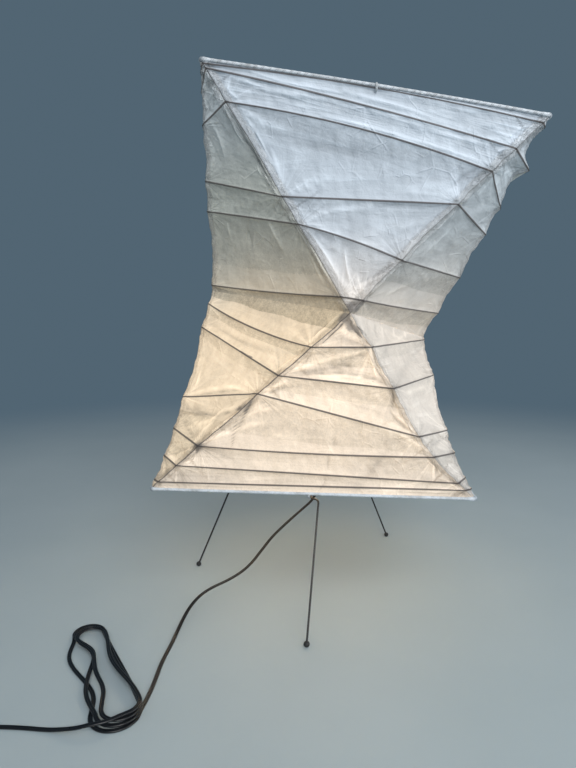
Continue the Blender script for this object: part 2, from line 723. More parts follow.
LOW_BOW, HIGH_BOW = (6, -2, -20, -10), (-1.5, 0.5, -3.5, 5)
# The fifth upper rib is long on the right, where it pushes the two right seams out
LONG_RIB, LONG_RIB_PUSH = 5, np.array([8.0, 0.0, -3.5])
RIB_D, RIB_BEND, RIB_INSET, RIB_SPACING, RIB_SIDES = 1.8, 3.0, 1.7, 6, 10
FACETS = ["left_front", "front", "front_right", "right", "right_back", "back", "back_left", "left"]
BANDS, SEAMS = 7, len(FACETS)
# The upper seams on the right, where the paper hangs loose
LOOSE_SEAMS = (3, 4)


def mirrored(values):
    return tuple(values) + tuple(reversed(values))


def square_corners(turn, slope, middle):
    """The corners of an end frame that is turned and slopes down to the right."""
    slope = math.radians(slope)
    corners = []
    for x, y in ((-1, -1), (1, -1), (1, 1), (-1, 1)):
        flat = turned(x * math.cos(slope), y, turn) * FRAME_SIDE / 2
        drop = x * math.sin(slope) * FRAME_SIDE / 2
        corners.append(np.array(middle) + [flat[0], flat[1], -drop])
    return corners


BOTTOM = square_corners(BOTTOM_TURN, 0, (0, 0, BOTTOM_H))
TOP = square_corners(TOP_TURN, TOP_SLOPE, (TOP_LEAN, 0, TOP_H))
WAIST = []
for angle in (180, 270, 0, 90):
    x, y = turned(WAIST_R, 0, angle + WAIST_TURN)
    drop = x * math.tan(math.radians(WAIST_SLOPE)) + y * math.tan(math.radians(WAIST_DIP))
    WAIST.append(np.array([WAIST_SHIFT + x, y, WAIST_H - drop]))


def seam_at(high, s, t):
    """A point on a seam, from its lower end (0) to its upper end (1)."""
    s %= SEAMS
    waist, corner = WAIST[(s + 1) // 2 % 4], (TOP if high else BOTTOM)[s // 2]
    low, top = (waist, corner) if high else (corner, waist)
    bow = mirrored(HIGH_BOW if high else LOW_BOW)[s]
    arc = math.sin(math.pi * t) if high else math.sin(math.pi * (1 - t) ** 2)
    return low + (top - low) * t + np.array([bow * arc, 0, 0])


def row_shares(high, s):
    """How far up a seam each row lies: the frame or waist, the six ribs, and the other end."""
    return [0.0] + [mirrored(row)[s % SEAMS] for row in (HIGH_RIBS if high else LOW_RIBS)] + [1.0]


def seam_nodes(high, s):
    return np.array([seam_at(high, s, t) for t in row_shares(high, s)])


def seam_push(high, s, v):
    """How far the long rib pushes a seam out at v bands up it. The push dies away quickly."""
    near = np.exp(-((v - LONG_RIB) / 0.16) ** 2) if high and s % SEAMS in LOOSE_SEAMS else np.zeros_like(v)
    return near[..., None] * LONG_RIB_PUSH


def facet_normal(high, k):
    a, b = seam_at(high, k, 0.5), seam_at(high, k + 1, 0.5)
    top, foot = (seam_at(high, k, end) + seam_at(high, k + 1, end) for end in (1, 0))
    return unit(np.cross(b - a, top - foot))


def seam_out(high, s):
    """Outwards at a seam, as long as brings both of its facets out by one."""
    n, m = facet_normal(high, s - 1), facet_normal(high, s)
    return (n + m) / (1 + n @ m)


# How deep the paper is drawn in between two ribs, as a share of the band: at a seam, in the
# middle of a facet, and on top of that where the upper right seams hang loose
SEAM_DRAW, FACET_DRAW = 0.035, 0.055
LOOSE_DRAW = np.array([0, 0, 0.01, 0.03, 0.06, 0.10, 0.05])
# How far each rib has warped upwards in the middle of a facet, from the bottom or the waist
# up. The top frame bows up a little too, at the front.
WARP = {
    (False, 0): (0, 0, 0, 0, 0, 0, -7.7, 0), (False, 1): (0, 0, 0, -3.1, 0, 0, 0, 0),
    (True, 0): (0, -2.9, 0, 0, 0, 0, 0, 0), (True, 1): (0, 0, 3, 0, 9.3, 4, 6.4, 2),
    (True, 2): (0, -1.7, 0, 0, 0, 0, 0, 0),
}
# Where the paper is double, for every band: how far it reaches from the rib above at the left
# and the right end, as a share of the band (from the rib below if negative), and how dark it is
LAPS = {
    (False, 0): [
        (0, 0, 0), (0.3, 0.5, 0.2), (0.9, 0.75, 0.40), (-0.62, -0.45, 0.35), (0.12, 0.30, 0.25),
        (0.36, 0.30, 0.42), (0.34, 0.45, 0.78),
    ],
    (False, 1): [
        (0, 0, 0), (0.35, 0.40, 0.10), (0.45, 0.50, 0.06), (0.68, 0.78, 0.20), (0.62, 0.42, 0.26),
        (0.50, 0.55, 0.30), (0.6, 0.6, 0.15),
    ],
    (False, 2): [
        (0, 0, 0), (0, 0, 0), (0.3, 0.3, 0.25), (0.35, 0.3, 0.15), (0.25, 0.3, 0.12),
        (0.30, 0.25, 0.20), (0, 0, 0),
    ],
    (True, 0): [
        (1.2, 1.2, 0.62), (0.70, 0.72, 0.43), (1.2, 1.2, 0.48), (1.2, 1.2, 0.25), (1.2, 1.2, 0.25),
        (1.2, 1.2, 0.2), (1.2, 1.2, 0.3),
    ],
    (True, 1): [
        (0, 0, 0), (0.30, 0.25, 0.12), (0.35, 0.30, 0.10), (0.30, 0.28, 0.22), (0.4, 0.5, 0.08),
        (0, 0, 0), (0, 0, 0),
    ],
    (True, 2): [
        (1.0, 0.62, 0.50), (0.50, 0.55, 0.5), (1.2, 1.2, 0.25), (0.4, 0.5, 0.15), (0.3, 0.3, 0.3),
        (0, 0, 0), (0, 0, 0),
    ],
}
# Which facet's laps and folds each facet has, and whether they are turned round
LIKE_FACET = [(0, False), (1, False), (2, False), (0, True), (2, True), (1, True), (0, True), (2, False)]
# Dirt: half of the shade, seam, bands up it, millimetres in from it, radius and strength
SPOTS = [
    (False, 1, 3.0, 0, 7, 1.7), (False, 1, 3.77, 2, 8, 1.0), (False, 1, 3.45, 4, 10, 0.5),
    (False, 1, 6.9, 3, 10, 1.1), (False, 1, 6.82, 3, 4, 1.2), (False, 2, 6.65, 9.5, 3, 0.8),
    (False, 2, 6.5, 17, 3.5, 0.9), (False, 2, 6.5, 9, 3.5, 0.8), (False, 2, 6.56, 1, 5, 1.0),
    (False, 2, 6.42, 0, 4, 0.8), (True, 2, 0.35, 5, 9, 1.1), (True, 2, 0.85, 3, 7, 1.1),
    (True, 1, 0.15, 5, 9, 1.0), (False, 1, 6.45, 12, 16, 0.4), (False, 2, 2.9, 4, 5, 0.5),
    (False, 2, 4.0, 2, 4, 0.6), (False, 6, 3.4, 3, 9, 0.8), (True, 5, 0.3, 6, 14, 0.8),
]
# Folds in the paper of each facet: height, width, how dirty, and the places that it runs
# through, each as bands up the facet and share of its width
FOLDED = {
    (False, 0): [
        (1.3, 3, 0, (6.1, 0.94), (6.52, 0.94), (7, 0.95)),
        (-1.1, 3, 0.2, (6.2, 0.94), (6.48, 0.92), (6.68, 0.95)),
        (1, 3, 0, (6.92, 0.89), (6.76, 0.93), (6.54, 0.96)),
        (1.3, 3, 0, (5.18, 0.96), (5.52, 0.97), (5.82, 0.99)),
        (1, 3, 0, (5.06, 0.94), (5.34, 0.95), (5.68, 0.96)),
        (-0.9, 4, 0.1, (5.32, 0.09), (5.34, 0.42), (5.44, 0.74)),
        (1.1, 3, 0, (4.04, 0.05), (4.12, 0.29), (4.22, 0.61), (4.2, 0.9)),
        (-1, 3, 0.1, (4.02, 0.12), (4.08, 0.45), (4.22, 0.81)),
        (1, 3, 0, (4.44, 0.1), (4.22, 0.12), (4.06, 0.08)),
        (-1.6, 4, 0.45, (3.66, 0.1), (3.58, 0.4), (3.6, 0.7), (3.74, 0.97)),
        (1.5, 3, 0, (3.6, 0.14), (3.32, 0.49), (3.46, 0.65), (3.66, 0.69), (3.82, 1)),
        (1.3, 3, 0, (3, 0.83), (3.24, 0.71), (3.44, 0.71)),
        (-1.3, 4, 0.3, (3.34, 0.12), (3.14, 0.43), (3.02, 0.76)),
        (1.1, 3, 0, (3.26, 0.92), (3.46, 0.96), (3.62, 1)),
        (1.2, 3, 0, (2.94, 0.88), (2.6, 0.84), (2.36, 0.61)),
        (-1.2, 3, 0.3, (2.94, 0.92), (2.56, 1), (2.1, 0.95)),
        (0, 2.2, 1.6, (5.02, 0.54), (5.02, 0.6), (5.04, 0.67)),
    ],
    (False, 1): [
        (-1.5, 3, 0.25, (5.1, 0.04), (5.24, 0.24), (5.44, 0.48), (5.56, 0.77)),
        (1.4, 3, 0, (5.14, 0.05), (5.44, 0.19), (5.7, 0.42), (5.94, 0.96)),
        (-1.5, 3, 0.25, (5.02, 0.04), (5.2, 0.33), (5.3, 0.59), (5.2, 0.86), (5.06, 1)),
        (1.2, 3, 0, (5.1, 0.14), (5.14, 0.43), (5.24, 0.66), (5.14, 0.82)),
        (-1.1, 3, 0.2, (5.38, 0.11), (5.76, 0.1), (5.88, 0.36)),
        (1.1, 3, 0, (5.9, 0.96), (5.56, 0.9), (5.24, 0.88)),
        (-0.9, 3, 0.1, (5.58, 0.41), (5.78, 0.74), (5.84, 0.92)),
        (1.4, 3, 0, (4.16, 0.01), (4.48, 0.04), (4.76, 0.1)),
        (-1.3, 3, 0.2, (4.06, 0.05), (4.46, 0.09), (4.66, 0.2)),
        (-1.5, 3, 0.6, (4.96, 0.98), (4.78, 0.96), (4.54, 0.9)),
        (1.2, 3, 0, (4.48, 0.88), (4.28, 0.94), (4.08, 0.99)),
        (-1, 3, 0.2, (4.52, 0.87), (4.26, 0.9), (4.06, 0.95)),
        (0.9, 4, 0, (5.04, 0.39), (5.04, 0.66), (4.98, 0.91)),
        (-1.4, 3, 0.5, (3.94, 0), (3.7, 0.03), (3.36, 0.09)),
        (1.2, 3, 0, (3.94, 0.03), (3.78, 0.06), (3.88, 0.1)),
        (1.3, 3, 0, (3.56, 0.05), (3.76, 0.09), (3.84, 0.16)),
        (-1.2, 2, 0.55, (3.54, 0.03), (3.32, 0.08), (3.04, 0.14)),
        (1.4, 3, 0, (3.04, 0), (3.2, 0.03), (3.4, 0.1), (3.6, 0.18)),
        (-0.9, 2, 0.3, (3.5, 0.54), (3.34, 0.56), (3.2, 0.57)),
        (1.1, 4, 0, (3.98, 0.73), (3.92, 0.86), (3.58, 0.96), (3.14, 0.99)),
        (1.2, 3, 0, (3.04, 0.01), (3.22, 0), (3.34, 0)),
        (-1.3, 2.5, 0.4, (2.9, 0.01), (2.52, 0.03), (2.14, 0.04)),
        (1.2, 3, 0, (2.9, 0.01), (2.3, 0.04), (2.08, 0.01)),
        (1.5, 3, 0, (2.96, 0.96), (2.68, 0.97), (2.22, 0.93)),
        (-1.3, 2.5, 0.3, (2.92, 0.96), (2.66, 0.98), (2.22, 0.94)),
        (-0.8, 2, 0.25, (3.02, 0.56), (2.74, 0.56), (2.2, 0.55)),
        (1.3, 3, 0, (2.12, 0.97), (1.72, 0.97), (1.1, 0.98)),
        (-0.8, 2, 0.25, (1.88, 0.54), (1.24, 0.55), (0.32, 0.53)),
        (-1, 2, 1, (6.82, 0.01), (6.74, 0.69), (6.6, 0.63)),
        (-1, 2, 1, (6.62, 0.63), (6.5, 0.84), (6.3, 0.93)),
        (-1, 2, 0.7, (6.66, 0.21), (6.38, 0.14), (6.14, 0.12)),
        (1, 2.5, 0, (6.6, 0.05), (6.3, 0.67), (6.06, 0.96)),
        (-1, 2, 0.5, (6, 0.99), (5.78, 0.98), (5.56, 0.96)),
        (1.3, 2.5, 0, (5.9, 0.95), (5.7, 0.89), (5.46, 0.95)),
    ],
    (False, 2): [
        (1.4, 3, 0, (5.9, 0.01), (5.64, 0), (5.1, 0.01)),
        (-1.2, 3, 0.2, (5.88, 0.06), (5.54, 0), (5.14, 0.07)),
        (-1.1, 3, 0.3, (6.88, 0), (6.6, 0.01), (6.36, 0.09)),
        (0.9, 3, 0, (6.88, 0.36), (6.26, 0.25)),
        (0.9, 3, 0, (7, 0.54), (6.52, 0.49)),
        (-0.8, 3, 0.1, (6.88, 0.27), (6.34, 0.19)),
        (1.3, 3, 0, (4.84, 0), (4.54, 0), (4.18, 0)),
        (0.9, 4, 0, (4.86, 0.18), (4.86, 0.46), (4.84, 0.81)),
        (1.2, 3, 0, (3.8, 0.06), (3.48, 0), (3.18, 0)),
        (-1, 3, 0.2, (3.48, 0.1), (3.62, 0.51), (3.78, 1)),
        (1, 3, 0, (7, 0.7), (6.38, 0.66)),
    ],
    (True, 0): [
        (1.2, 3, 0, (3.98, 0.91), (3.82, 0.84), (3.64, 0.79)),
        (-1.4, 3, 0.3, (3.5, 0.9), (3.3, 0.93), (3.08, 0.95)),
        (1.2, 3, 0, (3.3, 0.79), (3.24, 0.92), (3.1, 0.95)),
        (1, 4, 0, (3.94, 0.3), (3.68, 0.38), (3.42, 0.33)),
        (-1, 4, 0.15, (3.86, 0.98), (3.58, 0.88), (3.42, 0.99)),
        (1.3, 3, 0, (1.7, 0.98), (1.52, 0.99), (1.18, 0.98)),
        (1, 3, 0, (1.54, 0.92), (1.34, 0.91), (1.18, 0.92)),
        (0.9, 3.5, 0, (1.98, 0.68), (1.72, 0.68), (1.58, 0.7)),
        (-0.9, 3.5, 0.1, (1.84, 0.4), (1.68, 0.41), (1.52, 0.39)),
        (0.9, 3, 0, (1.86, 0.2), (1.66, 0.21)),
    ],
    (True, 1): [
        (1.5, 3, 0, (3.02, 0.02), (3.16, 0.18), (3.3, 0.32)),
        (1.3, 3, 0, (3.5, 0.08), (3.32, 0.06), (3.12, 0.03)),
        (1.2, 3, 0, (3.84, 0.04), (3.7, 0.05), (3.5, 0.05)),
        (-1.2, 3.5, 0, (3.78, 0.05), (3.58, 0.04), (3.46, 0.07)),
        (-1, 5, 0.22, (3.72, 0.1), (3.66, 0.24), (3.64, 0.4), (3.68, 0.52), (3.68, 0.66)),
        (1.4, 3, 0, (3.12, 0.97), (3.22, 0.82), (3.24, 0.65)),
        (1.2, 3, 0, (3.22, 0.96), (3.36, 0.84), (3.36, 0.74)),
        (-1, 3, 0, (3.36, 0.9), (3.66, 0.92), (3.94, 0.95)),
        (1.2, 4, 0, (3.96, 0.04), (3.84, 0.1), (3.78, 0.2)),
        (1.6, 4, 0, (4.16, 0.35), (4.14, 0.53), (4.16, 0.7), (4.16, 0.95)),
        (1.2, 3, 0, (4.9, 0.07), (4.7, 0.18), (4.76, 0.3), (4.86, 0.41)),
        (1.1, 3, 0, (5.08, 0.42), (4.98, 0.59), (4.96, 0.7), (4.96, 0.82)),
        (1, 3, 0, (4.84, 0.48), (4.8, 0.63), (4.72, 0.8), (4.84, 0.92)),
        (1.3, 2.5, 0, (5.02, 0.98), (5.1, 0.93), (4.98, 0.88)),
        (1.3, 2.5, 0, (5, 0.98), (4.7, 0.96), (4.3, 0.98)),
        (1, 2.5, 0, (5.06, 0.98), (5.48, 0.89), (5.52, 0.85)),
        (1.3, 3, 0, (5.68, 0.14), (5.22, 0.24), (5.3, 0.36), (5.36, 0.42)),
        (1.2, 3, 0, (5.52, 0.42), (5.34, 0.54), (5.32, 0.69)),
        (1, 3, 0, (5.5, 0.47), (5.36, 0.61), (5.16, 0.76)),
        (1.1, 2.5, 0, (6.08, 0.98), (5.52, 0.98), (5.08, 0.98)),
        (1.1, 2.5, 0, (5.3, 0.95), (5.7, 0.96), (5.88, 0.99)),
        (1.2, 2.5, 0, (4.88, 0.06), (4.4, 0.03), (4.08, 0.06)),
        (1.2, 4, 0, (2.2, 0.1), (2.54, 0.21), (2.7, 0.35), (2.82, 0.52)),
        (-1.1, 3, 0.2, (2.92, 0.54), (2.92, 0.74), (2.94, 1)),
        (1.2, 3, 0, (2.04, 0.98), (2.34, 0.97), (2.72, 0.98), (2.92, 1)),
        (1, 3, 0, (2.16, 0.1), (2.02, 0.31), (2.08, 0.4)),
        (0.9, 3, 0, (2.46, 0.78), (2.6, 0.85), (2.7, 0.95)),
        (1, 3, 0, (2.02, 0.85), (2.08, 0.74), (2, 0.54)),
        (1.4, 3, 0, (1.76, 0.42), (1.52, 0.42), (1.26, 0.47)),
        (1.3, 3, 0, (1.94, 0.07), (1.68, 0.12), (1.36, 0.2)),
        (1.2, 3, 0, (1.18, 0.53), (1.4, 0.83), (1.72, 1), (1.96, 1)),
        (-1.2, 2.5, 0.3, (1.26, 0.58), (1.5, 0.86), (1.8, 1)),
        (1, 3, 0, (1.9, 0.1), (1.8, 0.28), (1.74, 0.4)),
        (0.9, 3, 0, (1.12, 0.92), (1.3, 0.68), (1.4, 0.57)),
    ],
    (True, 2): [
        (1.2, 3, 0, (2.12, 0.03), (2.42, 0.06), (2.76, 0.07), (2.92, 0.07)),
        (1.2, 2.5, 0, (2.52, 0.35), (2.56, 0.49), (2.58, 0.65)),
        (0.9, 3, 0, (2.2, 0.23), (2.44, 0.28), (2.64, 0.29)),
        (1.2, 3, 0, (1.2, 0.03), (1.56, 0.02), (1.88, 0.04)),
        (1, 3, 0, (1.22, 0.21), (1.44, 0.3), (1.62, 0.42)),
        (1, 3, 0, (1.64, 0.6), (1.82, 0.47), (1.96, 0.24)),
        (-1, 3, 0.1, (3, 0.18), (2.98, 0.45), (3, 0.8)),
        (0.9, 3, 0, (3.52, 0.24), (3.78, 0.2), (3.94, 0.09)),
    ],
}
# How dark the fold is along each facet's left and right seam
SEAM_FOLDS = {
    (False, 0): (0.3, 0.85), (False, 1): (0.85, 0.30), (False, 2): (0.35, 0.3),
    (True, 0): (0.3, 0.75), (True, 1): (0.12, 0.45), (True, 2): (0.45, 0.3),
}
# How wide the pasted strip is along each seam, on the upper and the lower half. The finish is
# laid out for the usual width.
USUAL_STRIP = 8
STRIP = {True: np.array([8, 11, 10, 8, 8, 9, 10, 8]), False: np.array([7, 7, 8, 8, 8, 8, 7, 7])}
# How strongly long pleats run along each band
LOOSE = {
    True: np.array([0.3, 0.2, 0.35, 0.45, 1.0, 1.1, 0.9]),
    False: np.array([0.6, 0.4, 0.3, 0.3, 0.45, 0.6, 0.3]),
}
# How grey the daylight side of each facet is, and how strongly the bulb shows through it
GREY = {True: (0.9, 0.0, 0.25, 0.7, 0.5, 0.4, 0.6, 0.9), False: (0.9, 0.1, 0.2, 0.5, 0.4, 0.3, 0.4, 0.4)}
GLOW = {True: (0.74, 0.90, 0.62, 0.7, 0.6, 0.6, 0.6, 0.8), False: (1.24, 1.24, 0.56, 1.0, 1.0, 1.1, 1.0, 1.2)}
# Seeds of the random swells and creases, so that each run gives the same paper
CREASE_SEED, SEAM_SEED, LAP_SEED, WARM_SEED, STRIP_SEED, PUCKER_SEED = 3, 5, 17, 23, 71, 91
# The swells between the ribs: height, length of wave and seed
SWELLS = ((0.45, 46, 31), (0.30, 19, 51))
# How far in from a seam its own draw and its wandering line reach, in millimetres, and how
# far the paper stands up on each side of a rib
SEAM_REACH, SEAM_LINE_REACH, RIDGE_REACH = 22, 14, 1.7
# The pasted strip: how high it stands, and its puckers
STRIP_HEIGHT, PUCKER_HEIGHT = 0.34, 0.40
# How many creases fan out from each rib end and lie loose in each band, and how far the ones
# from a rib end run on behind it
FAN_CREASES, LOOSE_CREASES, CREASE_BACK = 7, 9, 3
# Heights over the table at which something starts to change, and over how much more it does:
# the paper's warm colour, the bulb's light upwards and at the foot, and the grey; and how far
# the light reaches from the bulb, all in millimetres
WARM_TO, WARM_FADE = 425, 150
GLOW_TO, GLOW_FADE, GLOW_FOOT, FOOT_FADE, GLOW_REACH = 395, 260, 205, 70, 330
GREY_TO, GREY_FADE = 610, 110
# The facets whose paper looks less warm, and how much
LESS_WARM = {(False, 2): 0.58, (True, 2): 0.58, (True, 1): 0.65}
# The middle of the bulb's light, in millimetres
BULB_MIDDLE = np.array([0, 0, 320.0])
# Millimetres that keep the patterns of two bands and of two seams apart
APART, SEAM_APART = 500.0, 400.0
# A distance from a rib, in millimetres, past which a finish takes no notice of it
NO_RIB = 30.0


def eased(x):
    x = np.clip(x, 0, 1)
    return x * x * (3 - 2 * x)


def ripple(points, size, seed, count=10):
    """A smooth random swell of about one unit, in waves about so many millimetres long."""
    rng = np.random.default_rng(seed)
    total = np.zeros(points.shape[:-1])
    for _ in range(count):
        way = unit(rng.normal(size=3)) * 2 * math.pi / (size * rng.uniform(0.6, 1.4))
        total += np.sin(points @ way + rng.uniform(0, 6.3))
    return total / math.sqrt(count / 2)


def creases(high, k, seed):
    """Small creases in the paper of a facet: some fan out from the rib ends, some run from one
    seam to the other, and loose ones lie along the bands. Each is a start, a direction, how
    far it runs forward and back, a width and a depth, in millimetres."""
    rng = np.random.default_rng(seed)
    normal = facet_normal(high, k)
    out = []
    for side in (0, 1):
        nodes = seam_nodes(high, k + side)
        others = seam_nodes(high, k + 1 - side)
        for row in range(1, BANDS):
            across = unit(others[row] - nodes[row])
            rise = np.cross(normal, across) * (1 if side == 0 else -1)
            for _ in range(FAN_CREASES):
                a = rng.uniform(-1.3, 1.3)
                way = across * math.cos(a) + rise * math.sin(a)
                reach, wide, deep = rng.uniform(12, 55), rng.uniform(2.0, 4.0), rng.normal() * 0.75
                out.append((nodes[row], way, reach, CREASE_BACK, wide, deep))
            for target in (others[row + 1], others[row - 1]):
                way = unit(target - nodes[row])
                reach, wide, deep = rng.uniform(40, 120), rng.uniform(2.5, 5), rng.normal() * 0.7
                out.append((nodes[row], way, reach, CREASE_BACK, wide, deep))
    left, right = seam_nodes(high, k), seam_nodes(high, k + 1)
    for band in range(BANDS):
        along = unit(right[band] + right[band + 1] - left[band] - left[band + 1])
        rise = np.cross(normal, along)
        for _ in range(LOOSE_CREASES):
            u, t, a = rng.uniform(0.05, 0.95), rng.uniform(0.15, 0.9), rng.normal() * 0.35
            low, top = (left[row] + (right[row] - left[row]) * u for row in (band, band + 1))
            way = along * math.cos(a) + rise * math.sin(a)
            reach = rng.uniform(12, 60)
            out.append((low + (top - low) * t, way, reach, reach, rng.uniform(2.5, 5.5), rng.normal() * 0.55))
    return out


class FacetSheet:
    """The paper of one facet as a surface over v, 0 to 7 up the bands, and u, 0 to 1 across."""

    def __init__(self, high, k):
        self.high = high
        self.k = k
        self.left = seam_nodes(high, k)
        self.right = seam_nodes(high, k + 1)
        self.normal = facet_normal(high, k)
        self.out_left = seam_out(high, k)
        self.out_right = seam_out(high, k + 1)
        self.creases = creases(high, k, 100 * high + 10 * k + CREASE_SEED)
        kind, swapped = LIKE_FACET[k]
        self.laps = np.array([(b, a, c) if swapped else (a, b, c) for a, b, c in LAPS[high, kind]])

    def pull(self, s, band):
        """The share of a band's height by which a seam is drawn in."""
        return SEAM_DRAW + (LOOSE_DRAW[band] if self.high and s % SEAMS in LOOSE_SEAMS else 0)

    def at(self, v, u):
        """Points and the named values of the finish, for arrays of v and u of one shape."""
        high, k = self.high, self.k
        band = np.clip(np.floor(v).astype(int), 0, BANDS - 1)
        t = v - band
        tt, uu = t[..., None], u[..., None]
        a0, a1 = self.left[band], self.left[band + 1]
        b0, b1 = self.right[band], self.right[band + 1]
        a, b = a0 + (a1 - a0) * tt, b0 + (b1 - b0) * tt
        flat = a + (b - a) * uu
        height = np.linalg.norm((a1 - a0) * (1 - uu) + (b1 - b0) * uu, axis=-1)
        width = np.linalg.norm(b - a, axis=-1)
        arch = 4 * t * (1 - t)
        from_left, from_right = u * width, (1 - u) * width
        edge = np.minimum(from_left, from_right)
        inner = eased(edge / SEAM_REACH)

        # Each seam keeps its own line, which both of its facets share
        share_left = (1 - u) * np.exp(-(from_left / SEAM_LINE_REACH) ** 2)
        share_right = u * np.exp(-(from_right / SEAM_LINE_REACH) ** 2)
        drawn = np.where(u < 0.5, self.pull(k, band), self.pull(k + 1, band)) * height * arch
        outwards = np.where((u < 0.5)[..., None], self.out_left, self.out_right)
        moved = -outwards * (drawn * (1 - inner))[..., None]
        moved = moved - self.normal * (FACET_DRAW * height * arch * inner)[..., None]
        moved = moved + self.out_left * (share_left * self.seam_line(a, t))[..., None]
        moved = moved + self.out_right * (share_right * self.seam_line(b, t))[..., None]
        moved = moved + seam_push(high, k, v) * (1 - uu) + seam_push(high, k + 1, v) * uu
        if (high, k) in WARP:
            bow = np.interp(v, range(BANDS + 1), WARP[high, k]) * 4 * u * (1 - u)
            way = np.cross(self.normal, (b - a) / np.maximum(width, 1e-6)[..., None])
            moved = moved + way * bow[..., None]

        # Relief on top of that: ribs, swells, creases, folds and the pasted strips
        rib = np.minimum(t, 1 - t) * height
        to_rib = np.where(t < 0.5, band, band + 1)
        has_rib = (to_rib > 0) & (to_rib < BANDS)
        side = np.where(u < 0.5, k, k + 1) % SEAMS
        strip_run = edge * USUAL_STRIP / STRIP[high][side]
        lift = np.exp(-(rib / RIDGE_REACH) ** 2) * has_rib * eased(edge / 3)
        swell = sum(tall * ripple(flat, wave, seed + k, 16) for tall, wave, seed in SWELLS)
        swell = swell * eased(height / 40)
        tight = eased(edge / 6) * (0.25 + 0.75 * eased(rib / 5))
        folds, soiled = self.folds(flat)
        crumple = self.wrinkles(flat) + folds
        lift = lift + (crumple + swell) * tight
        strip = 1 - eased((strip_run - 7 - 1.5 * ripple(flat, 24, STRIP_SEED)) / 2.6)
        puckers = ripple(flat, 9, PUCKER_SEED)
        lift = lift + STRIP_HEIGHT * strip * eased(edge / 2)
        lift = lift + PUCKER_HEIGHT * puckers * strip * eased(edge / 3)
        points = flat + moved + self.normal * lift[..., None]

        fan, near = self.fans(flat)
        start = np.where((u < 0.5)[..., None], a, b)
        lap, dark = self.lap(band, t, u, height, flat)
        ragged = high and k in (0, 3, 6)
        fade = 1 - 0.6 * eased((points[..., 2] - GREY_TO) / GREY_FADE)
        values = {
            "rib": np.where(has_rib, rib, NO_RIB),
            "seam": edge,
            "run": np.linalg.norm(start - self.left[0], axis=-1) + SEAM_APART * side,
            "strip": strip_run,
            "fold": np.where(u < 0.5, *SEAM_FOLDS.get((high, k), (0.3, 0.3))),
            "fan": fan,
            "near": near,
            "crumple": crumple,
            "across": from_left + APART * band,
            "loose": LOOSE[high][band],
            "lap": lap,
            "dark": dark,
            "rag": np.where(band == 1, 16.0, 4.0) if ragged else np.full(v.shape, 3.0),
            "warm": self.warmth(points),
            "glow": self.glow(points),
            "grey": GREY[high][k] * fade,
            "soil": self.soil(flat) + soiled,
        }
        return points, values

    def seam_line(self, at, t):
        """How far a seam stands out: a thick pasted fold that wanders a little between ribs."""
        return 0.5 + 0.55 * ripple(at, 21, SEAM_SEED) * eased(4 * t * (1 - t) * 1.5)

    def wrinkles(self, points):
        """Height of the small random creases."""
        lift = np.zeros(points.shape[:-1])
        for start, way, forward, back, wide, depth in self.creases:
            off = points - start
            along = off @ way
            aside = np.linalg.norm(off - along[..., None] * way, axis=-1)
            fade = np.exp(-np.where(along > 0, along / forward, -along / back))
            lift += depth * fade * np.exp(-aside / (wide + along.clip(0) * 0.03))
        return lift

    def flat_at(self, v, u):
        """One point of the facet before any of its moves."""
        band = min(int(v), BANDS - 1)
        a, b = (seam[band] + (seam[band + 1] - seam[band]) * (v - band) for seam in (self.left, self.right))
        return a + (b - a) * u

    def folds(self, points):
        """Height and dirt of the folds in the table. The back has the front's, turned round,
        lower and the other way out."""
        lift, dirt = np.zeros(points.shape[:-1]), np.zeros(points.shape[:-1])
        kind, swapped = LIKE_FACET[self.k]
        for height, wide, dirty, *line in FOLDED[self.high, kind]:
            ends = [self.flat_at(v, 1 - u if swapped else u) for v, u in line]
            away, run = np.full(points.shape[:-1], 1e9), np.zeros(points.shape[:-1])
            for i, (start, end) in enumerate(zip(ends, ends[1:])):
                way = end - start
                share = np.clip((points - start) @ way / (way @ way + 1e-9), 0, 1)
                off = np.linalg.norm(points - start - share[..., None] * way, axis=-1)
                run = np.where(off < away, (i + share) / (len(ends) - 1), run)
                away = np.minimum(off, away)
            shape = np.exp(-away / (0.62 * wide)) * (0.35 + 0.65 * eased(4 * np.minimum(run, 1 - run)))
            lift += (1.9 if self.high else 1.5) * height * shape * (1 if self.k == kind else -0.7)
            dirt += 1.4 * dirty * np.exp(-(away / wide * 1.8) ** 2) * (self.k == kind)
        return lift, dirt

    def fans(self, points):
        """The angle round the nearest rib end, as a number, and the distance from it."""
        fan, near = np.zeros(points.shape[:-1]), np.full(points.shape[:-1], 1e9)
        across = unit(self.right[3] + self.right[4] - self.left[3] - self.left[4])
        rise = np.cross(self.normal, across)
        for side, nodes in enumerate((self.left, self.right)):
            for row in range(1, BANDS):
                off = points - nodes[row]
                distance = np.linalg.norm(off, axis=-1)
                forward = off @ across * (1 if side == 0 else -1)
                # The sum sets each rib end's streaks apart from the others'
                angle = np.arctan2(off @ rise, forward) * 5 + 20 * row + 200 * side + 40 * self.k
                closer = distance < near
                fan, near = np.where(closer, angle, fan), np.where(closer, distance, near)
        return fan, near

    def lap(self, band, t, u, height, points):
        """Millimetres inside the doubled paper, and how dark it is."""
        reach = self.laps[band, 0] * (1 - u) + self.laps[band, 1] * u
        inside = np.where(reach < 0, -reach - t, reach - (1 - t)) * height
        return inside + 0.9 * ripple(points, 90, LAP_SEED), self.laps[band, 2]

    def warmth(self, points):
        """How warm the paper itself looks: fully up to the waist, fading above it."""
        z = points[..., 2] + 8 * ripple(points, 130, WARM_SEED)
        top = 1 - eased((z - WARM_TO) / WARM_FADE)
        return np.clip(top * LESS_WARM.get((self.high, self.k), 1), 0, 1)

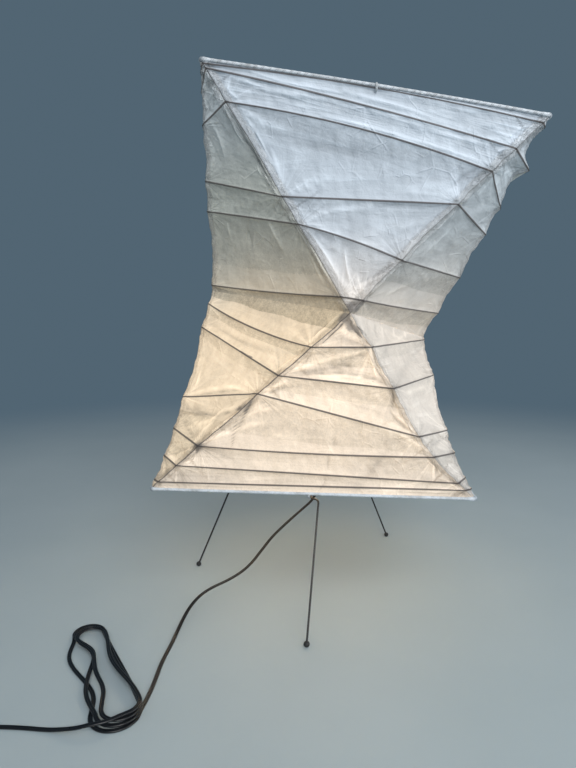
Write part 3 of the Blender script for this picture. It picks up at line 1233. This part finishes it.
    def glow(self, points):
        """How much of the bulb's light comes through."""
        z = points[..., 2]
        fade = 1 - 0.92 * eased((z - GLOW_TO) / GLOW_FADE)
        foot = 0.86 + 0.14 * eased((z - GLOW_FOOT) / FOOT_FADE)
        middle = np.exp(-(np.linalg.norm(points - BULB_MIDDLE, axis=-1) / GLOW_REACH) ** 2) * 1.25
        return fade * foot * middle * GLOW[self.high][self.k]

    def soil(self, points):
        """The dirt of the spots in the table."""
        dirt = np.zeros(points.shape[:-1])
        across = unit(self.right[3] + self.right[4] - self.left[3] - self.left[4])
        for high, s, v, inward, radius, strength in SPOTS:
            if high != self.high or (s - self.k) % SEAMS > 1:
                continue
            share = np.interp(v, range(BANDS + 1), row_shares(high, s))
            at = seam_at(high, s, share) + across * inward * (1 if s % SEAMS == self.k else -1)
            dirt += strength * np.exp(-np.linalg.norm(points - at, axis=-1) / radius)
        return dirt


def spread(per_band):
    """v values with rows closer together at the ribs."""
    steps = (1 - np.cos(np.pi * np.arange(per_band) / per_band)) / 2
    return np.append((np.arange(BANDS)[:, None] + steps).reshape(-1), BANDS)


def place(points):
    """Millimetres from the foot of the axis, in metres in the shared frame."""
    return points * MM + AXIS


HALVES = ((False, "low"), (True, "high"))
BAND_ROWS, PAPER_THICK = 20, 0.25
# Columns of the sheets in front, and of every other one
COLUMNS, OTHER_COLUMNS = {0: 171, 1: 251, 2: 171}, 141


def make_paper(material):
    """The sixteen papers. Their columns lie closer together towards the seams."""
    v = spread(BAND_ROWS)
    for high, half in HALVES:
        for k, facet in enumerate(FACETS):
            even = np.linspace(0, 1, COLUMNS.get(k, OTHER_COLUMNS))
            u = (1 - np.cos(np.pi * even)) / 2 * 0.35 + even * 0.65
            points, values = FacetSheet(high, k).at(*np.meshgrid(v, u, indexing="ij"))
            name = f"paper_{half}_{facet}"
            sheet = laid_grid(place(points), attributes=values)
            piece = finished(sheet, "skin_" + name, material, "shade")
            skin = piece.modifiers.new("thickness", "SOLIDIFY")
            skin.thickness = PAPER_THICK * MM
            skin.offset = -1
            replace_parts(piece, name)


# How near a ring is to a span that it lies on, in millimetres
ON_SPAN = 3


def bowed(rings, high, row, nodes):
    """The rings of a rod, moved where it has warped between its nodes."""
    out = []
    for at, along in rings:
        for (half, k), warps in WARP.items():
            if half != high or not warps[row]:
                continue
            near, far = nodes[k % len(nodes)], nodes[(k + 1) % len(nodes)]
            start, span = place(near), (far - near) * MM
            share = float((at - start) @ span / (span @ span))
            aside = float(np.linalg.norm(at - start - span * share))
            if 0 < share < 1 and aside < ON_SPAN * MM:
                way = unit(np.cross(facet_normal(high, k), span))
                at = at + way * 4 * share * (1 - share) * warps[row] * MM
                break
        out.append((at, along))
    return out


# The strip wound round each end frame, in millimetres: its pitch, the spacing and the sides of
# its rings, how far it stands out on the top and the bottom frame, how thick the knob at a
# corner is, and how far the knob and the bare wire reach
WRAP_PITCH, WRAP_SPACING, WRAP_SIDES = 9, 1.1, 14
TOP_RELIEF, BOTTOM_RELIEF = 0.42, 0.21
KNOB, KNOB_REACH, BARE_REACH = 1.1, 7, 6


def make_frames(material):
    """Each end frame wound with a paper strip like a rope, thicker at the corners."""
    for name, corners, relief in (("bottom_frame", BOTTOM, BOTTOM_RELIEF), ("top_frame", TOP, TOP_RELIEF)):
        rings = refined(bent_path([place(c) for c in corners], FRAME_BEND * MM), WRAP_SPACING * MM)
        middles = np.array([ring[0] for ring in rings])
        run = np.concatenate([[0], np.cumsum(np.linalg.norm(np.diff(middles, axis=0), axis=1))])
        pitch = run[-1] / round(run[-1] / (WRAP_PITCH * MM))
        from_corner = np.min([np.linalg.norm(middles - place(c), axis=1) for c in corners], axis=0)
        if name == "top_frame":
            rings = bowed(rings, True, BANDS, [seam_at(True, s, 1.0) for s in range(SEAMS)])

        def wound(i, angles):
            phase = (run[i] / pitch + angles / (2 * math.pi)) % 1.0
            roll = relief * MM * np.sin(math.pi * phase) ** 0.6
            knob = KNOB * MM * math.exp(-(from_corner[i] / (KNOB_REACH * MM)) ** 2)
            return (FRAME_D - relief) / 2 * MM + roll + knob

        points = tube_points(rings, wound, WRAP_SIDES)
        angles = np.arange(WRAP_SIDES + 1) / WRAP_SIDES
        turn = 0.5 + ((run[:, None] / pitch + angles[None, :] + 0.5) % 1.0 - 0.5) * relief / TOP_RELIEF
        bare = np.exp(-(from_corner / (BARE_REACH * MM)) ** 2)
        bare = np.repeat(bare[:, None], WRAP_SIDES + 1, axis=1)
        shape = laid_grid(points, closed=True, attributes={"turn": turn, "bare": bare})
        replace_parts(finished(shape, "wrapped_" + name, material, "shade"), name)


def make_ribs(material):
    """Bamboo ribs: slightly uneven rods inside the seams."""
    for high, half in HALVES:
        for row in range(1, BANDS):
            nodes = []
            for s in range(SEAMS):
                on_seam = seam_nodes(high, s)[row] + seam_push(high, s, np.array([float(row)]))[0]
                nodes.append(on_seam - seam_out(high, s) * RIB_INSET)
            rings = refined(bent_path([place(p) for p in nodes], RIB_BEND * MM), RIB_SPACING * MM)
            rings = bowed(rings, high, row, nodes)
            count = len(rings)

            def uneven(i, angles, row=row, count=count):
                wave = noise.noise(Vector((i * 0.35 % count, row * 7.1, high * 3.3)))
                return np.full(len(angles), (RIB_D / 2 - 0.06 + 0.05 * wave) * MM)

            shape = laid_grid(tube_points(rings, uneven, RIB_SIDES), closed=True)
            name = f"rib_{half}_{row}"
            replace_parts(finished(shape, "bamboo_" + name, material, "shade"), name)


def dress_cad_nodes(finishes):
    """Gives each CAD node the finish of its slot."""
    slots = {part["node"]: part["material_slot"] for part in frame["record"]["subparts"]}
    for name, obj in frame["nodes"].items():
        obj.data.materials.clear()
        obj.data.materials.append(finishes[slots[name]])


BACKDROP = (0.084, 0.130, 0.170)
SKY, SKY_LEVEL = (0.90, 0.96, 1.0), 0.48
FLOOR_SIZE = 6
# Between these distances from the lamp, in metres, the floor fades into the backdrop
FADE_START, FADE_END = 0.75, 2.3


def make_floor():
    """A plain pale floor that fades into the blue-grey backdrop."""
    f = Finish("floor_paint")
    cloth = f.noise(5, 3, 0.5)
    away = f.node("ShaderNodeVectorMath", {"operation": "LENGTH"}, {0: f.place}, output="Value")
    paint = f.node("ShaderNodeBsdfPrincipled", inputs={
        "Base Color": f.mix(cloth, (0.300, 0.365, 0.395), (0.345, 0.410, 0.440)), "Roughness": 0.62,
    })
    far = f.node("ShaderNodeEmission", inputs={"Color": (*BACKDROP, 1)})
    blend = f.node("ShaderNodeMixShader", inputs={0: away.over(FADE_START, FADE_END), 1: paint, 2: far})
    f.end("ShaderNodeOutputMaterial", blend)
    bm = bmesh.new()
    bmesh.ops.create_grid(bm, x_segments=1, y_segments=1, size=FLOOR_SIZE)
    floor = bpy.data.meshes.new("floor")
    bm.to_mesh(floor)
    bm.free()
    floor.materials.append(f.material)
    obj = bpy.data.objects.new("floor", floor)
    bpy.context.collection.objects.link(obj)


def make_sky():
    """A dim even sky that lights the lamp, behind the backdrop's colour where it is seen."""
    world = bpy.data.worlds.new("sky")
    bpy.context.scene.world = world
    sky = Nodes(world)
    kinds = ("Is Camera Ray", "Is Glossy Ray", "Is Transmission Ray")
    camera, glossy, through = (sky.node("ShaderNodeLightPath", output=kind) for kind in kinds)
    either = sky.node("ShaderNodeMath", {"operation": "MAXIMUM"}, {0: camera, 1: glossy})
    seen = sky.node("ShaderNodeMath", {"operation": "MAXIMUM"}, {0: either, 1: through})
    light = sky.node("ShaderNodeBackground", inputs={"Color": (*SKY, 1), "Strength": SKY_LEVEL})
    wall = sky.node("ShaderNodeBackground", inputs={"Color": (*BACKDROP, 1), "Strength": 1.0})
    sky.end("ShaderNodeOutputWorld", sky.node("ShaderNodeMixShader", inputs={0: seen, 1: light, 2: wall}))


def make_lamps():
    """A soft key lamp in front, a weaker one at the right, and the bulb's own light."""
    make_lamp(
        "key", "AREA", at=(0.45, -2.3, 1.75), aim=(0, 0, 0.45), size=1.6, power=49, colour=(1.0, 1.0, 1.0),
    )
    make_lamp(
        "fill", "AREA", at=(1.9, -0.9, 0.7), aim=(0.1, 0, 0.45), size=1.2, power=13, colour=(0.95, 0.98, 1.0),
    )
    make_lamp(
        "inner_glow", "POINT", at=tuple(AXIS + np.array([0, 0, 0.33])), aim=(0, 0, 0), size=0.03, power=1.9,
        colour=(1.0, 0.82, 0.58),
    )


# Making it all

make_camera()
cord_material = cord_finish()
cord, route = make_cord(cord_material)
plug = make_plug(cord_material)

finishes = {
    "paper": paper_finish(),
    "wrapped_wire": wrap_finish(),
    "rib": rib_finish(),
    "steel_wire": wire_finish(),
    "black_steel": enamel_finish("black_enamel", (0.014, 0.014, 0.015), 0.30, 0.4),
    "foot_rubber": rubber_finish(),
    "plain_steel": steel_finish(),
    "brass": brass_finish(),
    "holder_black": phenolic_finish(),
    "fibre": fibre_finish(),
    "holder_ceramic": porcelain_finish(),
    "frosted_glass": frosted_glass_finish(),
    "cord_black": cord_material,
}
dress_cad_nodes(finishes)
make_paper(finishes["paper"])
make_frames(finishes["wrapped_wire"])
make_ribs(finishes["rib"])
make_floor()
make_sky()
make_lamps()

bpy.context.scene.view_settings.view_transform = "Standard"
